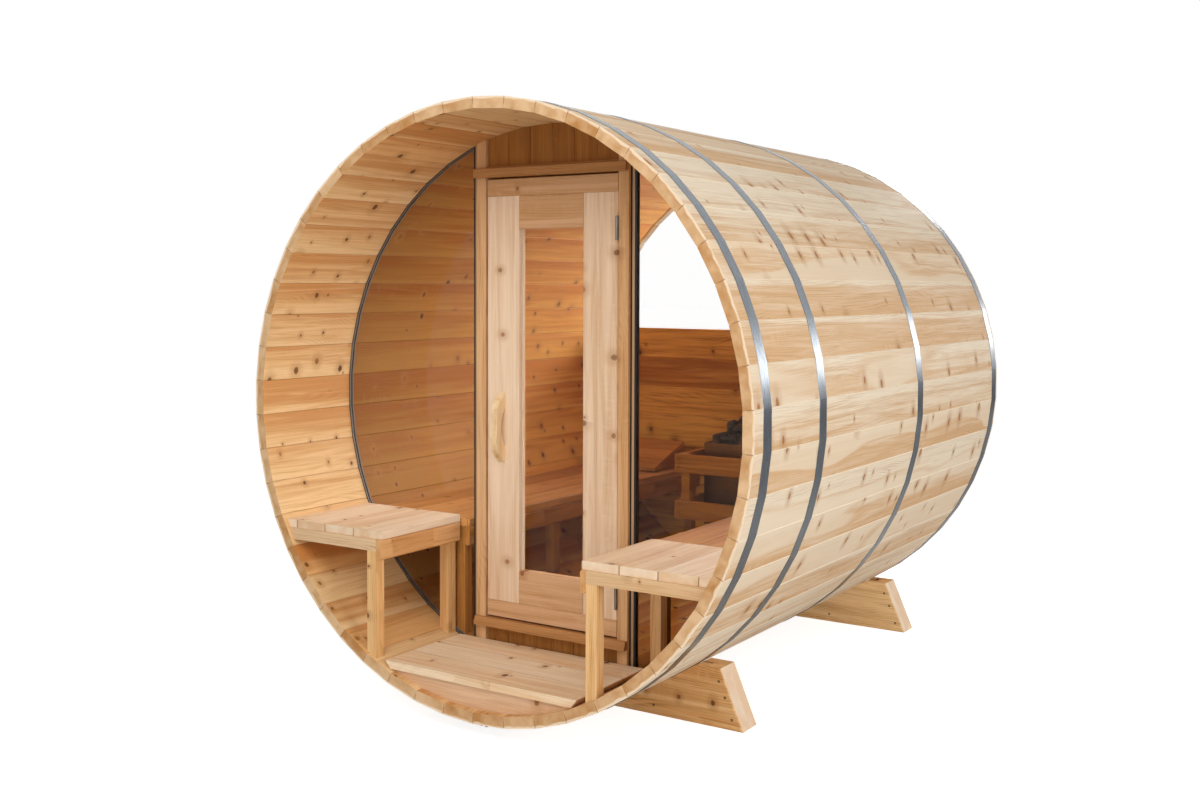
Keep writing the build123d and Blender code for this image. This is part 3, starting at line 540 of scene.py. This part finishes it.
# Darker and more orange than the porch's cedar: painted shade of the dim hot room
room_frame_cedar = cedar("hot_room_bench_frame_cedar",
                         board_space("YZX", (300 * MM, 200 * MM, WIDE)),
                         "#B87C3E", "#96602A", "#6B3E16", knots=0.2)
crosspiece_cedar = cedar("bench_crosspiece_white_cedar",
                         board_space("XZY", (1200 * MM, 100 * MM, WIDE), (0, FAR, FAR)),
                         "#E6C59C", "#D3A470", "#A87442", knots=0.35)
leg_cedar = cedar("bench_leg_white_cedar",
                  board_space("ZXY", (1200 * MM, 60 * MM, WIDE), (0, FAR, FAR)),
                  "#F2C68C", "#DEA564", "#A16C3A", knots=0.3)
# Darker and more orange than the porch's cedar: painted shade of the dim hot room
room_leg_cedar = cedar("hot_room_leg_cedar",
                       board_space("ZXY", (1200 * MM, 60 * MM, WIDE), (0, FAR, FAR)),
                       "#B07436", "#8E5824", "#633710", knots=0.2)
deck_cedar = cedar("deck_white_cedar",
                   board_space("XYZ", (WIDE, DECK_BOARD, WIDE),
                               (FAR, DECK_EDGE - BOARDS_BEFORE * DECK_BOARD, FAR), joints=0.6),
                   "#FBE4C4", "#ECC496", "#C08C58", knots=0.35)
joist_cedar = cedar("joist_white_cedar", board_space("XZY", (WIDE, 200 * MM, WIDE)),
                    "#EFCDA8", "#DDB088", "#B58052", knots=0.15)
cradle_cedar = cedar("cradle_white_cedar", board_space("XZY", (WIDE, 49 * MM, WIDE)),
                     "#FFD8A0", "#E6AA68", "#A0622C", sawn=("#F8E4CD", "#F0D0AE"),
                     knots=0.3, figure=1.3)
# The headrest and the heater guard stand in the hot room: their darker colours are painted shade
headrest_cedar = cedar("headrest_white_cedar", board_space("XYZ", (WIDE, 84 * MM, WIDE)),
                       "#C48842", "#A46A2C", "#743F12", knots=0.2)
guard_cedar = cedar("guard_white_cedar", board_space("XZY", (WIDE, WIDE, 150 * MM)),
                    "#BC7C2A", "#945A16", "#663806", knots=0.2)
branch_wood = cedar("smoothed_branch", board_space("ZYX", (WIDE, WIDE, WIDE)),
                    "#FBE6C2", "#E8BE84", "#B4804A", knots=0.6)

# Metals, glass, rubber and stone
band_steel = rolled_steel("brushed_stainless_band", "#858B91", "#565C63", 0.27, (30, 420, 30),
                          bent=0.85)
hinge_steel = rolled_steel("satin_hinge_steel", "#97928C", "#6E6A66", 0.38, (500, 500, 30))
heater_steel = rolled_steel("satin_heater_sheet", "#8C6640", "#523A20", 0.32, (30, 30, 400))
screw_steel = rolled_steel("dark_bronzed_screw", "#2A2018", "#120D09", 0.55, (300, 300, 300))
pane_glass = float_glass("clear_float_glass")
seal_rubber = extruded_rubber("extruded_edge_rubber", "#322B26", "#7D6F62")
channel_bronze = bronze_channel("bronzed_glazing_channel")
heater_stone = split_stone("split_heater_stone")

# The pieces that have each finish
finishes = {
    staves_cedar: [name for name in nodes if name.startswith("staves_")] + ["window_packing"],
    rear_cedar: ["back_wall_boards"],
    front_cedar: ["transom_boards", "kick_boards"],
    post_cedar: ["door_posts", "door_stops"],
    strip_cedar: ["door_header", "door_sill"],
    stile_cedar: ["door_stiles"],
    rail_cedar: ["door_rails"],
    bench_cedar: ["porch_bench_boards"],
    room_bench_cedar: ["cabin_bench_boards"],
    apron_cedar: ["porch_bench_aprons"],
    crosspiece_cedar: ["porch_bench_crosspieces"],
    leg_cedar: ["porch_bench_legs"],
    room_frame_cedar: ["cabin_bench_aprons"],
    room_leg_cedar: ["cabin_bench_legs", "cabin_bench_crosspieces"],
    deck_cedar: ["porch_deck_boards"],
    joist_cedar: ["porch_deck_joists"],
    cradle_cedar: ["cradle_front", "cradle_back"],
    headrest_cedar: ["headrest"],
    guard_cedar: ["heater_guard"],
    branch_wood: ["door_pull"],
    band_steel: ["bands"],
    hinge_steel: ["hinge_leaves_door", "hinge_leaves_post"],
    heater_steel: ["heater_case"],
    pane_glass: ["door_glass", "front_glass", "back_window_glass"],
    seal_rubber: ["glass_seals"],
    channel_bronze: ["glass_channels"],
}
for finish, names in finishes.items():
    for name in names:
        nodes[name].data.materials.clear()
        nodes[name].data.materials.append(finish)


def piece(name, mesh, body, finish):
    """Puts a finished mesh in the scene, on its body, with its material."""
    made = bpy.data.meshes.new(name)
    mesh.to_mesh(made)
    mesh.free()
    made.materials.append(finish)
    shown = bpy.data.objects.new(name, made)
    bpy.context.scene.collection.objects.link(shown)
    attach(shown, body)
    return shown


# Stones: split rocks 45 to 80 mm across that fill the heap's form, laid from its top down
STONE_COLUMNS = 8
STONE_LAYER = 45 * MM
LOWEST_TOP = 30 * MM
SPLIT_SIDES = 9
SPLIT_FROM_MIDDLE = 0.72


def split_rock(rocks, middle, radius, low, high):
    """Adds a rock to the mesh: a ball split flat on its sides, chipped, stretched and turned.
    It stays between the corners low and high."""
    ball = bmesh.ops.create_icosphere(rocks, subdivisions=3, radius=1)["verts"]
    tilt = Vector((random.random(), 1, random.random()))
    turn = Matrix.Rotation(random.uniform(0, math.tau), 4, tilt)
    stretch = Matrix.Diagonal((1, random.uniform(0.7, 0.95), random.uniform(0.55, 0.8), 1))
    offset = Vector([random.uniform(0, 50) for axis in "XYZ"])
    splits = [Vector([random.gauss(0, 1) for axis in "XYZ"]).normalized()
              for side in range(SPLIT_SIDES)]
    for vertex in ball:
        for split in splits:
            beyond = vertex.co.dot(split) - SPLIT_FROM_MIDDLE
            if beyond > 0:
                vertex.co -= split * beyond
        chip = 1.1 + 0.2 * noise.noise(vertex.co * 1.3 + offset)
        placed = turn @ stretch @ (vertex.co * chip * radius) + middle
        vertex.co = [max(least, min(most, value)) for least, most, value in zip(low, high, placed)]


random.seed(5)
stone_low, stone_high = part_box("heater_stones")
heap = bmesh.new()
pitch_x = (stone_high.x - stone_low.x) / STONE_COLUMNS
pitch_y = (stone_high.y - stone_low.y) / STONE_COLUMNS
for row in range(STONE_COLUMNS):
    for column in range(STONE_COLUMNS):
        x = stone_low.x + (column + 0.5 + random.uniform(-0.2, 0.2)) * pitch_x
        y = stone_low.y + (row + 0.5 + random.uniform(-0.2, 0.2)) * pitch_y
        over = (x, y, stone_high.z + 1)
        struck, top = nodes["heater_stones"].ray_cast(over, (0, 0, -1))[:2]
        level = top.z if struck else stone_low.z
        while level > stone_low.z + LOWEST_TOP:
            radius = random.uniform(27, 38) * MM
            split_rock(heap, Vector((x, y, level - radius * 0.75)), radius, stone_low, stone_high)
            level -= STONE_LAYER
stones = piece("heater_stone_heap", heap, "shell", heater_stone)
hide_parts("heater_stones")


# Screws
HEAD_WIDTH = 9 * MM
HEAD_PROUD = 0.3 * MM
HEAD_CORNERS = 12


def screw_heads(name, places):
    """Flat screw heads that face the front, with a round recess, a little proud of the wood."""
    heads = bmesh.new()
    profile = ((HEAD_WIDTH / 2, -0.2 * MM), (HEAD_WIDTH / 2 - 0.5 * MM, HEAD_PROUD),
               (HEAD_WIDTH / 5, HEAD_PROUD), (HEAD_WIDTH / 6, -1.0 * MM))
    turns = [math.tau * corner / HEAD_CORNERS for corner in range(HEAD_CORNERS)]
    for x, y, z in places:
        rings = [[heads.verts.new((x + radius * math.cos(turn), y - proud,
                                   z + radius * math.sin(turn))) for turn in turns]
                 for radius, proud in profile]
        for outer, inner in zip(rings, rings[1:]):
            for corner in range(HEAD_CORNERS):
                after = (corner + 1) % HEAD_CORNERS
                heads.faces.new((outer[corner], outer[after], inner[after], inner[corner]))
        heads.faces.new(rings[-1])
    return piece(name, heads, "shell", screw_steel)


# Down from the guard's top and in from its ends, and out from a cradle's middle and up
GUARD_SCREWS_DOWN = [down * MM for down in (20, 52, 206, 240)]
GUARD_SCREWS_IN = 20 * MM
CRADLE_SCREWS = [(out * MM, up * MM) for out, up in ((578, 148), (600, 100), (625, 34), (340, 31))]

guard_low, guard_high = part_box("heater_guard")
guard_columns = (guard_low.x + GUARD_SCREWS_IN, guard_high.x - GUARD_SCREWS_IN)
screw_heads("guard_screws", [(x, guard_low.y, guard_high.z - down)
                             for x in guard_columns for down in GUARD_SCREWS_DOWN])
for cradle in ("cradle_front", "cradle_back"):
    cradle_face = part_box(cradle)[0].y
    screw_heads(cradle + "_screws", [(side * out, cradle_face, up)
                                     for side in (-1, 1) for out, up in CRADLE_SCREWS])

# Floor: it glows only where the camera sees it, straight or through glass, so it looks white
scene = bpy.context.scene
floor_mesh = bmesh.new()
bmesh.ops.create_grid(floor_mesh, x_segments=1, y_segments=1, size=60)
floor_data = bpy.data.meshes.new("floor")
floor_mesh.to_mesh(floor_data)
floor_mesh.free()
floor = bpy.data.objects.new("floor", floor_data)
scene.collection.objects.link(floor)
floor_paint, add = blank_material("matt_pale_floor")
ray = add("LightPath").node.outputs
seen = add("Math", (ray["Is Camera Ray"], ray["Is Transmission Ray"]), operation="MAXIMUM")
glow = add("Math", (seen, 0.8), operation="MULTIPLY")
floor_shader = add("BsdfPrincipled", {"Base Color": linear("#E4E4E4"), "Roughness": 0.9,
                                      "Specular IOR Level": 0.1, "Emission Color": (1, 1, 1, 1),
                                      "Emission Strength": glow})
add("OutputMaterial", {"Surface": floor_shader})
floor_data.materials.append(floor_paint)

# World: white where it is seen, and for the object a soft light, weaker from straight above
world = bpy.data.worlds.new("white_studio")
scene.world = world
world.use_nodes = True
world.node_tree.nodes.clear()
add = partial(node, world.node_tree)
ray = add("LightPath").node.outputs
seen = add("Math", (ray["Is Camera Ray"], ray["Is Glossy Ray"]), operation="MAXIMUM")
seen = add("Math", (seen, ray["Is Transmission Ray"]), operation="MAXIMUM")
upward = add("SeparateXYZ", (add("TexCoord").node.outputs["Generated"],)).node.outputs["Z"]
strength = add("MapRange", (upward, 0.1, 0.9, 0.62, 0.06), interpolation_type="SMOOTHSTEP")
soft = add("Background", {"Color": linear("#FFFFFF"), "Strength": strength})
white = add("Background", {"Color": linear("#FFFFFF"), "Strength": 1.0})
add("OutputWorld", {"Surface": add("MixShader", (seen, soft, white))})


def softbox(name, place, target, size, power):
    """A studio lamp, as wide and high as size says, turned towards a point of the object."""
    lamp = bpy.data.lights.new(name, "AREA")
    lamp.shape = "RECTANGLE"
    lamp.size, lamp.size_y = size
    lamp.energy = power
    lamp_object = bpy.data.objects.new(name, lamp)
    scene.collection.objects.link(lamp_object)
    lamp_object.location = place
    lamp_object.rotation_mode = "QUATERNION"
    lamp_object.rotation_quaternion = (Vector(target) - Vector(place)).to_track_quat("-Z", "Y")


# Name, place, the point that the lamp is turned to, width and height, and watts
softbox("key_right", (6.2, -2.2, 1.8), (0, 0, 1), (3.0, 2.6), 135)
softbox("key_front", (0.9, -4.2, 4.4), (0, -0.8, 0.6), (4.0, 3.0), 130)
softbox("band_light", (3.6, 6.2, 1.9), (0.9, 0, 1.2), (3.0, 0.9), 50)
softbox("window_light", (0, 2.4, 1.9), (-0.5, 0.2, 0.8), (1.2, 0.6), 32)
softbox("fill_low", (2.5, -5.0, 0.8), (0.4, -0.6, 0.2), (2.5, 1.2), 28)

# Camera at the photograph's viewing point
CAMERA_PLACE = (2.4938, -4.11714, 1.38694)
YAW, PITCH, ROLL = 0.572052, -0.037542, 0.003596
forward = Vector((-math.sin(YAW) * math.cos(PITCH),
                  math.cos(YAW) * math.cos(PITCH),
                  math.sin(PITCH)))
level_right = Vector((math.cos(YAW), math.sin(YAW), 0))
level_up = level_right.cross(forward)
right = level_right * math.cos(ROLL) + level_up * math.sin(ROLL)
up = level_up * math.cos(ROLL) - level_right * math.sin(ROLL)
camera_data = bpy.data.cameras.new("camera")
camera_data.sensor_width = 36
camera_data.lens = 38.945
camera_data.shift_x = -0.01692
camera_data.shift_y = -0.05528
camera = bpy.data.objects.new("camera", camera_data)
scene.collection.objects.link(camera)
aim = Matrix((right, up, -forward)).transposed().to_4x4()
camera.matrix_world = Matrix.Translation(CAMERA_PLACE) @ aim
scene.camera = camera

scene.view_settings.view_transform = "Standard"
